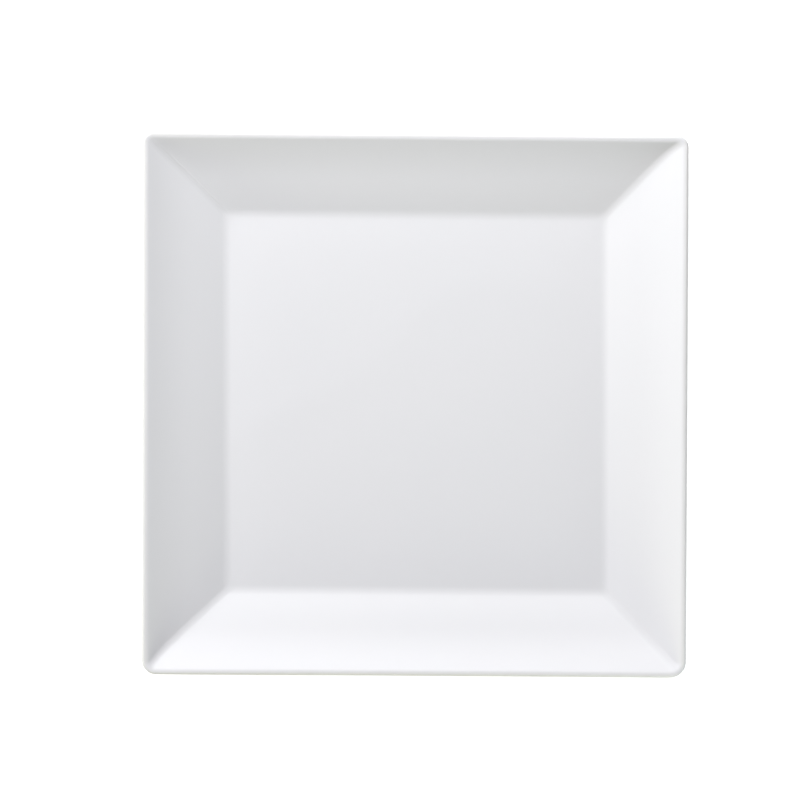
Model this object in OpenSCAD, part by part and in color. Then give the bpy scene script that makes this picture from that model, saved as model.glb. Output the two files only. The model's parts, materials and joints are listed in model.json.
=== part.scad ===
// Square dinner plate in glazed porcelain, standing on a bare foot ring.
// Millimetres, with the origin on the table under the middle of the plate and +Z up.

/* [Rim] */
// Width of the plate, side to side
plate_w = 265; // [235:1:320]
// Height of the lip above the table
plate_h = 26; // [20:0.5:36]
// Thickness of the sloping rim
rim_t = 4.4; // [3.6:0.1:6]
// Rounding of the lip's outer edge
lip_edge_r = 1.2; // [0.8:0.1:1.6]
// Rounding of the lip's inner side, where the slope flattens out
lip_inner_r = 3.6; // [2.4:0.2:7]
// How much steeper the hollow rim is at the lip than at the fold, in degrees
rim_bend = 12; // [1:0.5:14]
// Share of the rim that lies below the middle of its hollow
bend_share = 0.7; // [0.4:0.05:0.75]
// Rounding of the outer corners, seen from above
corner_r = 6.5; // [3:0.5:14]

/* [Well] */
// Width of the well, fold to fold
well_w = 184; // [140:1:205]
// Thickness of the floor under the well
floor_t = 4.6; // [3.4:0.1:6]
// Radius of the soft fold between the well and the rim
fold_r = 13; // [5:1:18]
// Rounding of the mitred corners between the slopes, seen from above
mitre_r = 3; // [1.5:0.5:8]

/* [Foot] */
// Clear height under the floor, inside the foot ring
foot_h = 3.4; // [2.8:0.1:5]
// How far the foot ring stands in from the edge of the flat underside
foot_inset = 3; // [2.6:0.2:20]
// Width of the foot ring where it stands
foot_t = 4.6; // [3.6:0.2:8]
// Lean of the foot ring's two sides, in degrees
foot_draft = 12; // [4:1:20]
// Rounding of the foot ring's corners, seen from above
foot_corner_r = 14; // [9:1:24]
// Rounding of the foot ring's two lower edges
foot_edge_r = 0.8; // [0.5:0.1:1]
// Fillets between the foot ring and the underside
foot_fillet_r = 1.4; // [0.8:0.1:1.6]

/* [Glaze] */
// Thickness of the coat of glaze
glaze_t = 0.3; // [0.15:0.05:0.4]
// Height above the table at which the glaze is wiped off the foot ring
wipe_h = 1.1; // [0.9:0.1:1.3]

/* [Hidden] */

porcelain_colour = [0.87, 0.85, 0.81];
glaze_colour = [0.95, 0.95, 0.96];

// Greatest turn from one point of a rounding to the next, and greatest gap between chord and arc
turn_step = 15;
chord_gap = 0.03;
// Share of the room between the other roundings that the rim's hollow takes
hollow_share = 0.95;
// Facets in each rounded corner, seen from above
corner_steps = 9;

// The sign of x and of y in each corner, counterclockwise from the back right one.
corner_signs = [[1, 1], [-1, 1], [-1, -1], [1, -1]];

// The section is drawn right of the middle, as half width and height. A line in it is a point and a
// heading, and the porcelain lies on its left.
function ahead(heading) = [cos(heading), sin(heading)];
function leftward(heading) = [-sin(heading), cos(heading)];
function shifted(line, depth) = [line[0] + depth * leftward(line[1]), line[1]];
function cross_z(a, b) = a.x * b.y - a.y * b.x;
function meeting(m, n) =
    m[0] + ahead(m[1]) * cross_z(n[0] - m[0], ahead(n[1])) / cross_z(ahead(m[1]), ahead(n[1]));
function at_height(line, z) = line[0] + ahead(line[1]) * (z - line[0].y) / ahead(line[1]).y;
function at_half(line, half) = line[0] + ahead(line[1]) * (half - line[0].x) / ahead(line[1]).x;

// Points of the rounding where line m turns into line n, drawn at a depth below the finished surface.
function rounding(m, n, r, depth) =
    let(
        turn = n[1] - m[1],
        signed_r = turn > 0 ? r - depth : -(r + depth),
        steps = ceil(abs(turn) / min(turn_step, 2 * acos(1 - chord_gap / r))),
        centre = meeting(shifted(m, depth + signed_r), shifted(n, depth + signed_r))
    )
    [for (i = [0:steps]) centre - signed_r * leftward(m[1] + turn * i / steps)];

// Mean slope of the rim: the line from the fold that touches the inner round of the lip.
floor_z = foot_h + floor_t;
fold = [well_w / 2, floor_z];
lip_round = [plate_w / 2 - lip_edge_r, plate_h - lip_inner_r];
slope = atan2(lip_round.y - fold.y, lip_round.x - fold.x) + asin(lip_inner_r / norm(lip_round - fold));
low_slope = slope - rim_bend * (1 - bend_share);
high_slope = slope + rim_bend * bend_share;

// The upper face, from the lip's side to the well.
lip_side = [[plate_w / 2, plate_h - lip_edge_r], 90];
lip_top = [[lip_round.x, plate_h], 180];
lip_touch = lip_round + lip_inner_r * leftward(high_slope);
rim_over_high = [lip_touch, 180 + high_slope];
rim_over_low = [fold, 180 + low_slope];
well_floor = [fold, 180];

// The lower face, from the floor to the lip. The rounding under the fold keeps the wall even.
floor_under = [[0, foot_h], 0];
rim_under_low = shifted([fold, low_slope], -rim_t);
rim_under_high = shifted([lip_touch, high_slope], -rim_t);
under_fold_r = fold_r + floor_t;
// The lip's lower round ends where that of its edge begins.
lip_under_r = (lip_side[0].y - at_half(rim_under_high, plate_w / 2).y) / tan(45 - high_slope / 2);

// The rim's hollow, as wide as the roundings at its two ends leave it, on both faces.
function reach(m, n, r) = r * tan(abs(n[1] - m[1]) / 2);
mid_over = meeting(rim_over_high, rim_over_low);
mid_under = meeting(rim_under_low, rim_under_high);
under_fold = meeting(floor_under, rim_under_low);
over_room = min(
    norm(mid_over - fold) - reach(rim_over_low, well_floor, fold_r),
    norm(mid_over - lip_touch)
);
under_room = min(
    norm(mid_under - under_fold) - reach(floor_under, rim_under_low, under_fold_r),
    norm(mid_under - meeting(rim_under_high, lip_side)) - reach(rim_under_high, lip_side, lip_under_r)
);
rim_over_r = hollow_share * min(over_room, under_room) / tan(rim_bend / 2) - rim_t;
rim_under_r = rim_over_r + rim_t;

// The foot ring stands in from where the flat underside ends.
flat_half = under_fold.x - reach(floor_under, rim_under_low, under_fold_r);
foot_half = flat_half - foot_inset;
foot_side = [[foot_half, foot_h], 90 - foot_draft];
underside = [[foot_half, foot_h], 0];

// Corner rounding of the plate's two faces, seen from above, at a given half width. The lip's bands
// share one middle at each corner, down to where the slopes meet in a tight mitre.
function under_corner(half) =
    foot_corner_r + (corner_r - foot_corner_r) * (half - foot_half) / (plate_w / 2 - foot_half);
function over_corner(half) = max(min(mitre_r, corner_r), corner_r - (plate_w / 2 - half));

// The coat's sections, from where it is wiped off outside the foot ring, round the lip, to the well.
function coat_under(depth) = [
    at_height(shifted(foot_side, depth), wipe_h),
    each rounding(foot_side, underside, foot_fillet_r, depth),
    each rounding(underside, rim_under_low, under_fold_r, depth),
    each rounding(rim_under_low, rim_under_high, rim_under_r, depth),
    each rounding(rim_under_high, lip_side, lip_under_r, depth)
];
function after_first(list) = [for (i = [1:len(list) - 1]) list[i]];
function coat_over(depth) = [
    each after_first(rounding(lip_side, lip_top, lip_edge_r, depth)),
    each after_first(rounding(lip_top, rim_over_high, lip_inner_r, depth)),
    each rounding(rim_over_high, rim_over_low, rim_over_r, depth),
    each rounding(rim_over_low, well_floor, fold_r, depth)
];

// The base panel's section, from the middle's edge out and down to where the glaze is wiped off.
inner_side_x = at_height(foot_side, 0).x - foot_t;
foot_inner_side = [[inner_side_x, 0], 270 + foot_draft];
base_panel = [[inner_side_x, foot_h], 360];
function panel_section(depth) = [
    each rounding(base_panel, foot_inner_side, foot_fillet_r, depth),
    at_height(shifted(foot_inner_side, depth), wipe_h)
];

// The bare foot ring, from its inner side under the standing face to its outer side.
table = [[inner_side_x, 0], 360];
function bare_foot() =
    let(
        inner = shifted(foot_inner_side, glaze_t),
        outer = shifted([foot_side[0], foot_side[1] + 360], glaze_t)
    )
    [each rounding(inner, table, foot_edge_r, 0), each rounding(table, outer, foot_edge_r, 0)];

// A rounded square: its half width, its height and its corner rounding.
function ring(half, z, r) = [
    for (s = [0:3], j = [0:corner_steps])
        let(a = 90 * (s + j / corner_steps))
        [corner_signs[s].x * (half - r) + r * cos(a), corner_signs[s].y * (half - r) + r * sin(a), z]
];

// Below the finished surface a corner keeps its middle, so the coat stays even round it.
function coat_rings(depth) = [
    let(top = coat_under(0), deep = coat_under(depth))
        for (i = [0:len(top) - 1]) ring(deep[i].x, deep[i].y, under_corner(top[i].x) + deep[i].x - top[i].x),
    let(top = coat_over(0), deep = coat_over(depth))
        for (i = [0:len(top) - 1]) ring(deep[i].x, deep[i].y, over_corner(top[i].x) + deep[i].x - top[i].x)
];
function panel_rings(depth) = [
    for (p = panel_section(depth)) ring(p.x, p.y, foot_corner_r + p.x - foot_half)
];
function foot_rings() = [for (p = bare_foot()) ring(p.x, p.y, foot_corner_r + p.x - foot_half)];

function backwards(list) = [for (i = [len(list) - 1:-1:0]) list[i]];

// A closed solid through a row of rings, with a flat face over the first and the last. The first
// one faces up. Each band's diagonals start from the ring that is wider, or higher at one width.
module loft(rings) {
    n = len(rings[0]);
    last = len(rings) - 1;
    function leads(a, b) = a[0].x == b[0].x ? a[0].z > b[0].z : a[0].x > b[0].x;
    polyhedron(
        points = [for (r = rings) each r],
        faces = [
            [for (j = [n - 1:-1:0]) j],
            [for (j = [0:n - 1]) last * n + j],
            for (k = [0:last - 1], j = [0:n - 1])
                let(
                    a = k * n + j,
                    b = k * n + (j + 1) % n,
                    c = a + n,
                    d = b + n
                )
                each leads(rings[k], rings[k + 1]) ? [[a, b, d], [a, d, c]] : [[a, b, c], [b, d, c]]
        ],
        convexity = 6
    );
}

// The pressed clay body: floor, rim, lip and foot ring in one piece.
module porcelain_body() {
    color(porcelain_colour)
        loft([
            each backwards(coat_rings(glaze_t)),
            each backwards(foot_rings()),
            each backwards(panel_rings(glaze_t))
        ]);
}

// The coat over the well, the rim, the lip and the underside, down to the wiped foot ring.
module outer_glaze() {
    color(glaze_colour)
        loft([each backwards(coat_rings(0)), each coat_rings(glaze_t)]);
}

// The panel of glaze inside the foot ring, parted from the outer coat by the bare foot.
module base_glaze() {
    color(glaze_colour)
        loft([each panel_rings(glaze_t), each backwards(panel_rings(0))]);
}

porcelain_body();
outer_glaze();
base_glaze();
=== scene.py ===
import cmath
import json
import math

import bpy
from mathutils import Matrix, Vector


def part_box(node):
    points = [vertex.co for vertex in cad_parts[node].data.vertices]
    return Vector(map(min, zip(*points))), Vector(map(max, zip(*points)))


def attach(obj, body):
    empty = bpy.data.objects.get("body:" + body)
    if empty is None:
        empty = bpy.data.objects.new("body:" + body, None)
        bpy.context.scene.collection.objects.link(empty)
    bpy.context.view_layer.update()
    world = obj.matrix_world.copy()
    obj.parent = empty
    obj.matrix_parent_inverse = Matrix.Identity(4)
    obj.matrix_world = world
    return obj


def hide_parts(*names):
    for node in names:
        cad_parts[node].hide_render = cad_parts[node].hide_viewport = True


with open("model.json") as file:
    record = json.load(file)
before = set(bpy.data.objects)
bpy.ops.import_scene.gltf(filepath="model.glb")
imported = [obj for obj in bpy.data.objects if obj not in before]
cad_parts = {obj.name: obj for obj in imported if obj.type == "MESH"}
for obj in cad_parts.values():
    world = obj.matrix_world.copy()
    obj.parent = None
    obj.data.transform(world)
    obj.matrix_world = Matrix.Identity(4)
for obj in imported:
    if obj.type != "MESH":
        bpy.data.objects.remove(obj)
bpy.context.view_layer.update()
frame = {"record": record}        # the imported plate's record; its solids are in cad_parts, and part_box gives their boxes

mm = 0.001


# Section of the plate, as the solids have it. A point of the section is half width + height * 1j.
coatLow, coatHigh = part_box("outer_glaze")
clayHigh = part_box("porcelain_body")[1]
wellMount = next(m for m in frame["record"]["mounts"] if m["name"] == "well_floor")

plate = {
    "half": coatHigh.x,
    "height": coatHigh.z,
    "floorHeight": wellMount["pos_m"][2],
    "glaze": coatHigh.x - clayHigh.x,
    "wipeHeight": coatLow.z,
    "rimThickness": 4.4 * mm,
    "lipEdgeRadius": 1.2 * mm,
    "lipInnerRadius": 3.6 * mm,
    "rimBend": math.radians(12),    # how much steeper the hollow rim is at the lip than at the fold
    "bendShare": 0.7,           # share of the rim that lies below the middle of its hollow
    "hollowShare": 0.95,        # share of the room between the other roundings that the hollow takes
    "floorThickness": 4.6 * mm,
    "foldHalf": 92 * mm,
    "foldRadius": 13 * mm,
    "mitreRadius": 3 * mm,      # between the slopes, seen from above
    # of the outer corners, seen from above: back right, back left, front left, front right
    "cornerRadii": [5.6 * mm, 5.6 * mm, 7.0 * mm, 8.0 * mm],
    "footInset": 3 * mm,
    "footThickness": 4.6 * mm,
    "footDraft": math.radians(12),
    "footCorner": 14 * mm,
    "footEdge": 0.8 * mm,
    "footFillet": 1.4 * mm,
    "seam": 0.02 * mm,          # air between the coats and the clay, so that their faces don't coincide
}
plate["footHeight"] = plate["floorHeight"] - plate["floorThickness"]


def shifted(line, depth):       # a line is a point and a heading, with the clay on its left
    return line[0] + 1j * depth * cmath.rect(1, line[1]), line[1]


def meeting(m, n):
    u, v = cmath.rect(1, m[1]), cmath.rect(1, n[1])
    return m[0] + u * ((n[0] - m[0]).conjugate() * v).imag / (u.conjugate() * v).imag


def atHeight(line, z):
    u = cmath.rect(1, line[1])
    return line[0] + u * (z - line[0].imag) / u.imag


def atHalf(line, half):
    u = cmath.rect(1, line[1])
    return line[0] + u * (half - line[0].real) / u.real


def rounding(m, n, radius, depth, steps):
    turn = n[1] - m[1]
    signed = radius - depth if turn > 0 else -(radius + depth)
    centre = meeting(shifted(m, depth + signed), shifted(n, depth + signed))
    return [centre - 1j * signed * cmath.rect(1, m[1] + turn * i / steps) for i in range(steps + 1)]


def reach(m, n, radius):        # how far a rounding runs along its lines from where they meet
    return radius * math.tan(abs(n[1] - m[1]) / 2)


# The rim's mean slope is that of the line from the fold that touches the inner round of the lip.
fold = plate["foldHalf"] + plate["floorHeight"] * 1j
lipX = plate["half"] - plate["lipEdgeRadius"]
lipRound = lipX + (plate["height"] - plate["lipInnerRadius"]) * 1j
slope = cmath.phase(lipRound - fold) + math.asin(plate["lipInnerRadius"] / abs(lipRound - fold))
lowSlope = slope - plate["rimBend"] * (1 - plate["bendShare"])
highSlope = slope + plate["rimBend"] * plate["bendShare"]

edgeStart = plate["height"] - plate["lipEdgeRadius"]
lipSide = (plate["half"] + edgeStart * 1j, math.pi / 2)
lipTop = (lipX + plate["height"] * 1j, math.pi)
lipTouch = lipRound + 1j * plate["lipInnerRadius"] * cmath.rect(1, highSlope)
rimOverHigh = (lipTouch, math.pi + highSlope)
rimOverLow = (fold, math.pi + lowSlope)
wellFloor = (fold, math.pi)

floorUnder = (plate["footHeight"] * 1j, 0)
rimUnderLow = shifted((fold, lowSlope), -plate["rimThickness"])
rimUnderHigh = shifted((lipTouch, highSlope), -plate["rimThickness"])
underFoldRadius = plate["foldRadius"] + plate["floorThickness"]
lipUnder = atHalf(rimUnderHigh, plate["half"])
underRound = (edgeStart - lipUnder.imag) / math.tan(math.pi / 4 - highSlope / 2)

midOver, midUnder = meeting(rimOverHigh, rimOverLow), meeting(rimUnderLow, rimUnderHigh)
underFold = meeting(floorUnder, rimUnderLow)
room = min(
    abs(midOver - fold) - reach(rimOverLow, wellFloor, plate["foldRadius"]),
    abs(midOver - lipTouch),
    abs(midUnder - underFold) - reach(floorUnder, rimUnderLow, underFoldRadius),
    abs(midUnder - meeting(rimUnderHigh, lipSide)) - reach(rimUnderHigh, lipSide, underRound),
)
underHollow = plate["hollowShare"] * room / math.tan(plate["rimBend"] / 2)
overHollow = underHollow - plate["rimThickness"]

flatHalf = underFold.real - reach(floorUnder, rimUnderLow, underFoldRadius)
footHalf = flatHalf - plate["footInset"]
footSide = (footHalf + plate["footHeight"] * 1j, math.pi / 2 - plate["footDraft"])
underside = (footSide[0], 0)
innerX = atHeight(footSide, 0).real - plate["footThickness"]
footInner = (innerX + 0j, 1.5 * math.pi + plate["footDraft"])
basePanel = (innerX + plate["footHeight"] * 1j, 2 * math.pi)
table = (innerX + 0j, 2 * math.pi)

detail = {
    "sideStep": 6 * mm,         # along a side
    "slopeStep": 3 * mm,        # up the slopes
    "floorStep": 4 * mm,        # across the well and the base
    "hiddenStep": 20 * mm,      # where a coat lies on the clay
    "fineStep": 0.3 * mm,       # round the pit in the glaze
    "fineCount": 6,             # fine steps to each side of the pit
    "beadStep": 0.27 * mm,      # up the bead at the wiped edge
    "beadCount": 4,
    "cornerSteps": 18,          # facets in each rounded corner, seen from above
    "filletSteps": 6,           # facets in each rounding of the section, from here on
    "footSteps": 8,
    "underFoldSteps": 8,
    "underSteps": 10,           # the underside's hollow, and its turn to the lip
    "edgeSteps": 10,
    "lipSteps": 8,
    "hollowSteps": 12,
    "foldSteps": 20,
    "innerRound": 0.4,          # greatest rounding of the flat rings, as a share of their half width
}


def cornerRound(half, under):   # rounding of the four corners at a half width, on one face of the plate
    if under:
        share = (half - footHalf) / (plate["half"] - footHalf)
        return [plate["footCorner"] + (r - plate["footCorner"]) * share for r in plate["cornerRadii"]]
    return [max(plate["mitreRadius"], r - plate["half"] + half) for r in plate["cornerRadii"]]


def wipedSide(line, depth):     # up from the wiped edge, where the glaze ends in a bead
    side = shifted(line, depth)
    heights = [plate["wipeHeight"] + i * detail["beadStep"] for i in range(detail["beadCount"])]
    return [atHeight(side, z) for z in heights]


def coatSection(depth):         # from the wiped edge outside the foot, round the lip, to the well
    under = wipedSide(footSide, depth)
    under += rounding(footSide, underside, plate["footFillet"], depth, detail["filletSteps"])
    under += rounding(underside, rimUnderLow, underFoldRadius, depth, detail["underFoldSteps"])
    under += rounding(rimUnderLow, rimUnderHigh, underHollow, depth, detail["underSteps"])
    under += rounding(rimUnderHigh, lipSide, underRound, depth, detail["underSteps"])
    over = rounding(lipSide, lipTop, plate["lipEdgeRadius"], depth, detail["edgeSteps"])[1:]
    over += rounding(lipTop, rimOverHigh, plate["lipInnerRadius"], depth, detail["lipSteps"])[1:]
    over += rounding(rimOverHigh, rimOverLow, overHollow, depth, detail["hollowSteps"])
    over += rounding(rimOverLow, wellFloor, plate["foldRadius"], depth, detail["foldSteps"])
    return under, over


def stations(depth):            # (half width, height, four corner roundings) of each ring of the coat
    finished, deep = coatSection(0), coatSection(depth)
    rings = []
    for part, (top, low) in enumerate(zip(finished, deep)):
        for a, b in zip(top, low):
            radii = [r + b.real - a.real for r in cornerRound(a.real, part == 0)]
            rings.append((b.real, b.imag, radii))
    return rings


def between(rings, longest):    # adds rings to the long bands, none further apart than this
    out = rings[:1]
    for a, b in zip(rings, rings[1:]):
        count = max(1, math.ceil(math.hypot(b[0] - a[0], b[1] - a[1]) / longest))
        for i in range(count):
            t = (i + 1) / count
            radii = [p + (q - p) * t for p, q in zip(a[2], b[2])]
            out.append((a[0] + (b[0] - a[0]) * t, a[1] + (b[1] - a[1]) * t, radii))
    return out


def inward(ring, step):         # flat rings from this one to the middle
    half, z, radii = ring
    count = math.ceil(half / step)
    rings = []
    for i in range(1, count):
        share = 1 - i / count
        rings.append((half * share, z, [min(r, detail["innerRound"] * half * share) for r in radii]))
    return rings


pit = {                         # a pinhole that the glaze healed over, at the foot of the front slope
    "place": Vector((2.4 * mm, -88.2 * mm)),
    "radius": 0.75 * mm,
    "depth": 0.16 * mm,
}


def sideShares():               # where the columns stand along a side, closer together round the pit
    run = 2 * (plate["half"] - sum(plate["cornerRadii"]) / 4)
    count = round(run / detail["sideStep"])
    shares = {i / count for i in range(1, count)}
    middle = 0.5 + pit["place"].x / run
    near = detail["fineCount"]
    shares |= {middle + i * detail["fineStep"] / run for i in range(-near, near + 1)}
    return sorted(shares)


columnShares = sideShares()
cornerSigns = [(1, 1), (-1, 1), (-1, -1), (1, -1)]


def ringPoints(half, z, radii):
    corners = []
    for quarter, ((sx, sy), r) in enumerate(zip(cornerSigns, radii)):
        arc = []
        for j in range(detail["cornerSteps"] + 1):
            a = math.pi / 2 * (quarter + j / detail["cornerSteps"])
            arc.append(Vector((sx * (half - r) + r * math.cos(a), sy * (half - r) + r * math.sin(a), z)))
        corners.append(arc)
    points = []
    for quarter, arc in enumerate(corners):
        points += arc
        start, end = arc[-1], corners[(quarter + 1) % 4][0]
        points += [start.lerp(end, share) for share in columnShares]
    return points


def drawn(rings, *shapes):      # the rings' points, each moved by what every shape adds
    out = []
    for ring in rings:
        points = ringPoints(*ring)
        out.append([p + sum((shape(p, ring[0]) for shape in shapes), Vector((0, 0, 0))) for p in points])
    return out


def loft(name, rings):          # a closed mesh through rings of points, capped at both ends
    points = [p for ring in rings for p in ring]
    n = len(rings[0])
    last = (len(rings) - 1) * n
    faces = [range(n), [last + j for j in range(n)][::-1]]      # the first cap faces up
    for k in range(0, last, n):
        faces += [(k + j, k + n + j, k + n + (j + 1) % n, k + (j + 1) % n) for j in range(n)]
    mesh = bpy.data.meshes.new(name)
    mesh.from_pydata(points, [], faces)
    mesh.polygons.foreach_set("use_smooth", [True] * len(faces))
    mesh.update()
    piece = bpy.data.objects.new(name, mesh)
    bpy.context.scene.collection.objects.link(piece)
    return piece


# What the mould and the kiln leave. Lists of four go round from the back right corner, like cornerRadii.
fired = {
    "sag": 1.4 * mm,            # fall of the lip in the middle of a side, against its corners
    "sagReach": 3,              # power by which the sag ends towards the corners
    "lipPull": [(-0.35, -1.1), (0, 0), (0, 0.5), (0, 0)],       # shift of each corner of the lip, in mm
    "wellPull": [(0, -0.65), (-0.45, -0.05), (0.7, -0.05), (1.15, -0.65)],      # and of the well
    "mitreBow": [(0, 1.9), (0, 0), (-1.9, 0), (0, 0)],  # of each mitre at its widest, in mm
    "bowLevel": 1.6,            # brings the bow to about 1 where it is widest
    "bowEnd": 6,                # power by which the bow ends towards the lip
    "bowReach": 10,             # power by which the bow fades away from its mitre
    "dip": 0.34 * mm,           # fall of the floor at the folds
    "dipReach": 9 * mm,         # over which it fades, as the runs of glaze do before the folds
    "dipRound": 3 * mm,         # rounding at its bottom
    "runs": [                   # crest of each run of glaze in mm, its height and its half width
        ([(-90, -16), (-42, 7), (-10, 30), (2, 46), (33, 62), (68, 55)], 0.15 * mm, 8 * mm),
        ([(-27, -16), (-14, -30), (2, -33)], 0.08 * mm, 5 * mm),
    ],
    "crease": 0.20 * mm,        # seam line of the mould, left beside the back left mitre
    "creaseWidth": 0.5 * mm,
    "creaseOff": 1.3 * mm,      # from the middle of the mitre towards the back slope
    "creaseEnd": 1 / 8,         # share of the crease over which it fades, at both ends
    "bead": 0.10 * mm,          # swell of the glaze where it is wiped off the foot ring
    "beadReach": 1.1 * mm,
}


def upperSide(half, z):
    rise = max(0, half - plate["foldHalf"]) * math.tan(slope)
    return z > plate["floorHeight"] + rise - plate["rimThickness"] / 2


def pulls(p, half):             # the plate isn't quite square, and two of its mitres bow
    out = max(0, half - plate["foldHalf"]) / (plate["half"] - plate["foldHalf"])
    up = min(1, max(0, half - plate["foldHalf"]) / (lipTouch.real - plate["foldHalf"]))
    bow = fired["bowLevel"] * up * (1 - up ** fired["bowEnd"])
    tables = zip(cornerSigns, fired["lipPull"], fired["wellPull"], fired["mitreBow"])
    shift = Vector((0, 0))
    for (sx, sy), lip, well, mitre in tables:
        share = (half + sx * p.x) * (half + sy * p.y) / (2 * half) ** 2
        shift += share * Vector(well).lerp(Vector(lip), out)
        shift += share ** fired["bowReach"] * bow * Vector(mitre)
    return Vector((*shift, 0)) * min(1, half / plate["foldHalf"]) * mm


def sags(p, half):              # the corners hold, the sides sink between them, most at the lip
    out = max(0, half - plate["foldHalf"]) / (plate["half"] - plate["foldHalf"])
    along = min(abs(p.x), abs(p.y)) / half
    n = fired["sagReach"]
    return Vector((0, 0, -fired["sag"] * out ** 2 * (1 - along ** n * (n + 1 - n * along))))


def dips(p, half):
    off = math.hypot(half - plate["foldHalf"], fired["dipRound"]) - fired["dipRound"]
    depth = fired["dip"] * math.exp(-off / fired["dipReach"])
    return Vector((0, 0, -depth if upperSide(half, p.z) else 0))


def fromRun(p, crest):          # distance to a line of crest points, seen from above
    nearest = math.inf
    for a, b in zip(crest, crest[1:]):
        a, b = Vector(a) * mm, Vector(b) * mm
        t = min(1, max(0, (p.xy - a).dot(b - a) / (b - a).length_squared))
        nearest = min(nearest, (p.xy - a.lerp(b, t)).length)
    return nearest


def runs(p, half):
    if half > plate["foldHalf"] or not upperSide(half, p.z):
        return Vector((0, 0, 0))
    fade = min(1, (plate["foldHalf"] - half) / fired["dipReach"])
    return Vector((0, 0, fade * sum(height * math.exp(-(fromRun(p, crest) / width) ** 2)
                                    for crest, height, width in fired["runs"])))


def pinhole(p, half):
    off = (p.xy - pit["place"]).length / pit["radius"]
    return Vector((0, 0, -pit["depth"] * math.exp(-off * off) if upperSide(half, p.z) else 0))


def mouldCrease(p, half):
    if p.x > 0 or p.y < 0 or half < plate["foldHalf"] or not upperSide(half, p.z):
        return Vector((0, 0, 0))
    along = (half - plate["foldHalf"]) / (lipX - plate["foldHalf"])
    fade = min(1, along / fired["creaseEnd"], max(0, 1 - along) / fired["creaseEnd"])
    off = ((p.x + p.y) / math.sqrt(2) - fired["creaseOff"]) / fired["creaseWidth"]
    return Vector((0, 0, fade * fired["crease"] * math.exp(-off * off)))


def wipedBead(p, half):
    share = (p.z - plate["wipeHeight"]) / fired["beadReach"]
    if not 0 < share < 1 or half > flatHalf:
        return Vector((0, 0, 0))
    away = 1 if half > innerX + plate["footThickness"] / 2 else -1
    return Vector((p.x, p.y, 0)).normalized() * away * fired["bead"] * math.sin(math.pi * share) ** 2


# The coat of glaze over the well, the rim, the lip and the underside.
finished = between(stations(0), detail["slopeStep"])[::-1]
hidden = between(stations(plate["glaze"]), detail["hiddenStep"])
outside = inward(finished[0], detail["floorStep"])[::-1] + finished
inside = hidden + inward(hidden[-1], detail["floorStep"])
outerGlaze = loft("outer_glaze_coat",
                  drawn(outside, pulls, sags, dips, runs, pinhole, mouldCrease, wipedBead)
                  + drawn(inside, pulls, sags, dips, runs))


# The panel of glaze inside the foot ring.
def footRings(points):          # rings whose corners share the middles of the foot ring's
    return [(p.real, p.imag, [plate["footCorner"] + p.real - footHalf] * 4) for p in points]


def panelStations(depth):
    points = rounding(basePanel, footInner, plate["footFillet"], depth, detail["filletSteps"])
    return footRings(points + wipedSide(footInner, depth)[::-1])


panelUp, panelDown = panelStations(plate["glaze"]), panelStations(0)
panelInside = inward(panelUp[0], detail["hiddenStep"])[::-1] + panelUp
panelOutside = panelDown[::-1] + inward(panelDown[0], detail["floorStep"])
baseGlaze = loft("base_glaze_panel", drawn(panelInside, pulls) + drawn(panelOutside, pulls, wipedBead))

# The clay under both coats, bare where the foot ring stands.
bareDepth = plate["glaze"] + plate["seam"]
outerSide = shifted((footSide[0], footSide[1] + 2 * math.pi), bareDepth)
innerSide = shifted(footInner, bareDepth)
bare = rounding(innerSide, table, plate["footEdge"], 0, detail["footSteps"])
bare += rounding(table, outerSide, plate["footEdge"], 0, detail["footSteps"])
clayTop = between(stations(bareDepth), detail["hiddenStep"])[::-1]
clayPanel = panelStations(bareDepth)
clayRings = inward(clayTop[0], detail["floorStep"])[::-1] + clayTop + footRings(bare)[::-1]
clayRings += clayPanel[::-1] + inward(clayPanel[0], detail["hiddenStep"])
clayBody = loft("porcelain_clay", drawn(clayRings, pulls, sags, dips, runs))
print("plate meshes:", [len(o.data.vertices) for o in (outerGlaze, baseGlaze, clayBody)])


# Materials
class Wire:                     # a socket that takes part in sums
    def __init__(self, nodes, socket):
        self.nodes, self.socket = nodes, socket

    def sum(self, operation, *others):
        terms = dict(enumerate((self, *others)))
        return self.nodes.add("ShaderNodeMath", {"operation": operation}, terms)

    def __add__(self, other):
        return self.sum("ADD", other)

    def __mul__(self, other):
        return self.sum("MULTIPLY", other)

    __radd__ = __add__
    __rmul__ = __mul__

    def size(self):
        return self.sum("ABSOLUTE")

    def larger(self, other):
        return self.sum("MAXIMUM", other)

    def step(self, low, high):  # 0 below low, 1 above high, smooth between
        limits = {"Value": self, "From Min": low, "From Max": high}
        return self.nodes.add("ShaderNodeMapRange", {"interpolation_type": "SMOOTHSTEP"}, limits)


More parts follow.
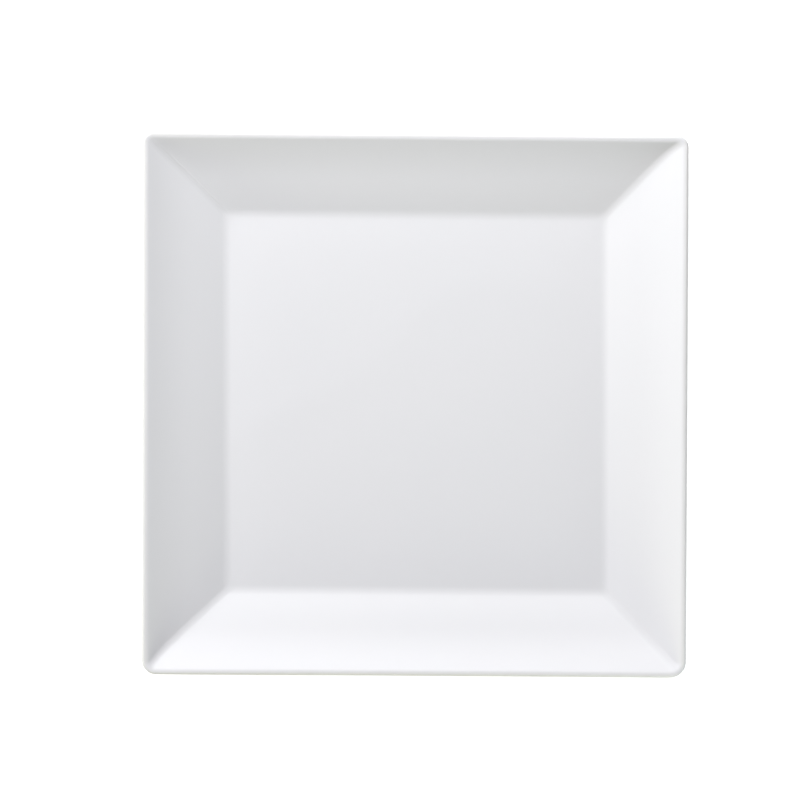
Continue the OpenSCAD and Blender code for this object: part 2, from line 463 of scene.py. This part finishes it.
class Nodes:                    # the nodes of a material or of the sky, under construction
    def __init__(self, owner):
        owner.use_nodes = True
        self.owner, self.tree = owner, owner.node_tree
        self.tree.nodes.clear()

    def add(self, kind, settings={}, inputs={}, output=0):
        node = self.tree.nodes.new(kind)
        for name, value in settings.items():
            setattr(node, name, value)
        for name, value in inputs.items():
            if isinstance(value, Wire):
                self.tree.links.new(value.socket, node.inputs[name])
            else:
                colour = isinstance(value, tuple) and len(value) == 3
                node.inputs[name].default_value = (*value, 1) if colour else value
        return Wire(self, node.outputs[output])

    def place(self, axis):
        where = self.add("ShaderNodeTexCoord", output="Object")
        return self.add("ShaderNodeSeparateXYZ", inputs={0: where}, output=axis)

    def noise(self, size, layers, roughness=0.5):
        where = self.add("ShaderNodeTexCoord", output="Object")
        inputs = {"Vector": where, "Scale": 1 / size, "Detail": layers, "Roughness": roughness}
        return self.add("ShaderNodeTexNoise", {}, inputs, "Fac")

    def mix(self, factor, a, b):    # 6, 7 and 2 are the node's sockets for colours
        return self.add("ShaderNodeMix", {"data_type": "RGBA"}, {"Factor": factor, 6: a, 7: b}, 2)

    def bump(self, height, distance, under=None):
        inputs = {"Height": height, "Distance": distance}
        if under:
            inputs["Normal"] = under
        return self.add("ShaderNodeBump", {}, inputs)

    def surface(self, **inputs):
        names = {"colour": "Base Color", "roughness": "Roughness", "coat": "Coat Weight",
                 "coatRoughness": "Coat Roughness", "normal": "Normal"}
        named = {names[key]: value for key, value in inputs.items()}
        return self.add("ShaderNodeBsdfPrincipled", {}, named)

    def finish(self, shader):
        kind = "World" if isinstance(self.owner, bpy.types.World) else "Material"
        out = self.tree.nodes.new("ShaderNodeOutput" + kind)
        self.tree.links.new(shader.socket, out.inputs["Surface"])
        return self.owner


# A pattern is given by its size, how many layers it has and, where it is the clay's, their roughness.
glazeLook = {
    "white": (0.815, 0.814, 0.840),
    "pooled": (0.79, 0.797, 0.828),     # thicker glaze, in clouds
    "cloud": (60 * mm, 2),
    "pooling": 0.5,                     # share of that colour in a full cloud
    "lip": (0.825, 0.820, 0.815),       # warmer at the lip: partly the thinner glaze's own tint over the clay, partly a painted glow of light shining through the thin edge
    "lipBand": (3.2 * mm, 0.4 * mm),    # where that begins and is full, from the edge
    "peel": (5 * mm, 2),                # ripple of the glaze
    "peelHeight": 0.02 * mm,
    "skin": (0.6 * mm, 2),              # finer ripple over it
    "skinHeight": 0.002 * mm,
    "roughness": 0.27,
    "smear": (14 * mm, 3),              # patches of duller gloss
    "smearing": 0.06,
    "coat": 0.3,
    "coatRoughness": 0.05,
}


def glazeMaterial():
    made = Nodes(bpy.data.materials.new("white_glaze"))
    half = made.place("X").size().larger(made.place("Y").size())
    cloud = made.noise(*glazeLook["cloud"])
    # The lip band is painted warmer: partly the thin glaze's own tint, partly a painted glow of light
    # through the thin edge.
    lip = half.step(*(plate["half"] - off for off in glazeLook["lipBand"]))
    shade = made.mix(cloud * glazeLook["pooling"], glazeLook["white"], glazeLook["pooled"])
    shade = made.mix(lip, shade, glazeLook["lip"])
    peel = made.noise(*glazeLook["peel"])
    skin = made.noise(*glazeLook["skin"])
    normal = made.bump(peel, glazeLook["peelHeight"])
    normal = made.bump(skin, glazeLook["skinHeight"], under=normal)
    rough = glazeLook["roughness"] + made.noise(*glazeLook["smear"]) * glazeLook["smearing"]
    return made.finish(made.surface(colour=shade, roughness=rough, coat=glazeLook["coat"],
                                    coatRoughness=glazeLook["coatRoughness"], normal=normal))


clayLook = {
    "bare": (0.76, 0.73, 0.67),
    "worn": (0.55, 0.53, 0.50),
    "scuff": (7 * mm, 5, 0.65),         # where the foot has rubbed on tables
    "scuffEdge": (0.52, 0.68),          # levels at which a scuff begins and is full
    "wear": 0.4,                        # share of the worn colour in a full scuff
    "grain": (0.25 * mm, 4, 0.7),
    "grainHeight": 0.06 * mm,
    "roughness": 0.82,
    "grainRoughness": 0.1,
}


def clayMaterial():
    made = Nodes(bpy.data.materials.new("bare_porcelain"))
    grain = made.noise(*clayLook["grain"])
    scuff = made.noise(*clayLook["scuff"])
    worn = scuff.step(*clayLook["scuffEdge"]) * clayLook["wear"]
    shade = made.mix(worn, clayLook["bare"], clayLook["worn"])
    normal = made.bump(grain, clayLook["grainHeight"])
    rough = clayLook["roughness"] + grain * clayLook["grainRoughness"]
    return made.finish(made.surface(colour=shade, roughness=rough, normal=normal))


glaze, clay = glazeMaterial(), clayMaterial()
for piece, node, slotName, material in (
    (outerGlaze, "outer_glaze", "glaze", glaze),
    (baseGlaze, "base_glaze", "glaze", glaze),
    (clayBody, "porcelain_body", "porcelain", clay),
):
    piece.data.materials.append(material)
    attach(piece, "root")
    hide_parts(node)
print("materials: glaze and bare porcelain")


# Camera: almost straight above, leaning to the back of the plate.
photo = {
    "pixels": 800,
    "plateWidth": 545.6,        # pixels
    "plateMiddle": (414.95, 405.3),     # pixels, of the lip's outline
    "leanBack": math.radians(4.3),
    "leanSide": math.radians(0.3),
    "roll": math.radians(0.23),
    "distance": 4.0,
    "sensor": 36.0,
    "clipEnd": 50.0,
}


def makeCamera():
    back = Vector((math.tan(photo["leanSide"]), math.tan(photo["leanBack"]), 1)).normalized()
    right = Vector((0, 1, 0)).cross(back).normalized()
    up = back.cross(right)
    c, s = math.cos(photo["roll"]), math.sin(photo["roll"])
    right, up = c * right + s * up, c * up - s * right
    pixel = 2 * plate["half"] / photo["plateWidth"]
    offX = (photo["pixels"] / 2 - photo["plateMiddle"][0]) * pixel
    offY = (photo["plateMiddle"][1] - photo["pixels"] / 2) * pixel
    aim = Vector((0, 0, edgeStart)) + right * offX + up * offY
    data = bpy.data.cameras.new("photo_camera")
    data.sensor_width = photo["sensor"]
    data.lens = photo["sensor"] * photo["distance"] / (photo["pixels"] * pixel)
    data.clip_end = photo["clipEnd"]
    camera = bpy.data.objects.new("photo_camera", data)
    turn = Matrix((right, up, back)).transposed().to_4x4()
    camera.matrix_world = Matrix.Translation(aim + back * photo["distance"]) @ turn
    bpy.context.scene.collection.objects.link(camera)
    bpy.context.scene.camera = camera


makeCamera()


# Light
lamps = {                       # degrees round from +X and up from the floor, metres and watts
    "left_box": {"azimuth": 180, "elevation": 50, "distance": 1.6, "size": 0.9, "power": 0.9},
    "left_wash": {"azimuth": 157, "elevation": 35, "distance": 1.6, "size": 0.9, "power": 15.8,
                  "gloss": False},
    "back_wash": {"azimuth": 90, "elevation": 35, "distance": 1.6, "size": 0.9, "power": 12.1,
                  "gloss": False},
    "near_wash": {"azimuth": 90, "elevation": 50, "distance": 0.75, "size": 0.4, "power": 1.53,
                  "gloss": False},
    "low_left": {"azimuth": 225, "elevation": 5, "distance": 1.6, "size": 0.25, "power": 4.2,
                 "gloss": False, "colour": (0.96, 1, 0.74)},
    "low_front": {"azimuth": 270, "elevation": 9, "distance": 0.5, "size": 0.12, "power": 0.34,
                  "gloss": False, "colour": (1, 0.96, 0.62)},
    "low_right": {"azimuth": 315, "elevation": 9, "distance": 0.5, "size": 0.12, "power": 0.57,
                  "gloss": False, "colour": (0.88, 0.98, 1)},
}
sky = {"level": 0.15, "backdrop": 1.0}


def addLamp(name, azimuth, elevation, distance, size, power, gloss=True, colour=(1, 1, 1)):
    around, up = math.radians(azimuth), math.radians(elevation)
    away = Vector((math.cos(around) * math.cos(up), math.sin(around) * math.cos(up), math.sin(up)))
    data = bpy.data.lights.new(name, "AREA")
    data.shape = "SQUARE"
    data.size = size
    data.energy = power
    data.color = colour
    lamp = bpy.data.objects.new(name, data)
    lamp.location = away * distance
    lamp.rotation_mode = "QUATERNION"
    lamp.rotation_quaternion = away.to_track_quat("Z", "Y")
    lamp.visible_camera = False
    lamp.visible_glossy = gloss     # a wash lights the plate, but its box isn't mirrored in the glaze
    bpy.context.scene.collection.objects.link(lamp)


for name, lamp in lamps.items():
    addLamp(name, **lamp)


def seenRays(made):             # 1 for rays of the camera, and for what gloss and glass show
    path = [made.add("ShaderNodeLightPath", output=name)
            for name in ("Is Camera Ray", "Is Glossy Ray", "Is Transmission Ray")]
    return path[0].larger(path[1]).larger(path[2])


def makeSky():                  # even light, and a plain white backdrop
    world = bpy.data.worlds.new("sky")
    made = Nodes(world)
    glow = made.add("ShaderNodeBackground", {}, {"Strength": sky["level"]})
    white = made.add("ShaderNodeBackground", {}, {"Strength": sky["backdrop"]})
    made.finish(made.add("ShaderNodeMixShader", {}, {0: seenRays(made), 1: glow, 2: white}))
    bpy.context.scene.world = world


makeSky()

# The lift is a glow that only those rays see: the floor looks white and keeps the shadow.
floorLook = {"colour": (0.8, 0.8, 0.8), "lift": 0.75, "size": 12.0}


def makeFloor():
    half = floorLook["size"] / 2
    corners = [(sx * half, sy * half, 0) for sx, sy in cornerSigns]
    mesh = bpy.data.meshes.new("floor")
    mesh.from_pydata(corners, [], [range(4)])
    floor = bpy.data.objects.new("floor", mesh)
    bpy.context.scene.collection.objects.link(floor)
    made = Nodes(bpy.data.materials.new("pale_floor"))
    matte = made.add("ShaderNodeBsdfDiffuse", {}, {"Color": floorLook["colour"]})
    glow = made.add("ShaderNodeEmission", {}, {"Strength": seenRays(made) * floorLook["lift"]})
    mesh.materials.append(made.finish(made.add("ShaderNodeAddShader", {}, {0: matte, 1: glow})))


makeFloor()
bpy.context.scene.view_settings.view_transform = "Standard"
print("camera, lamps and floor")
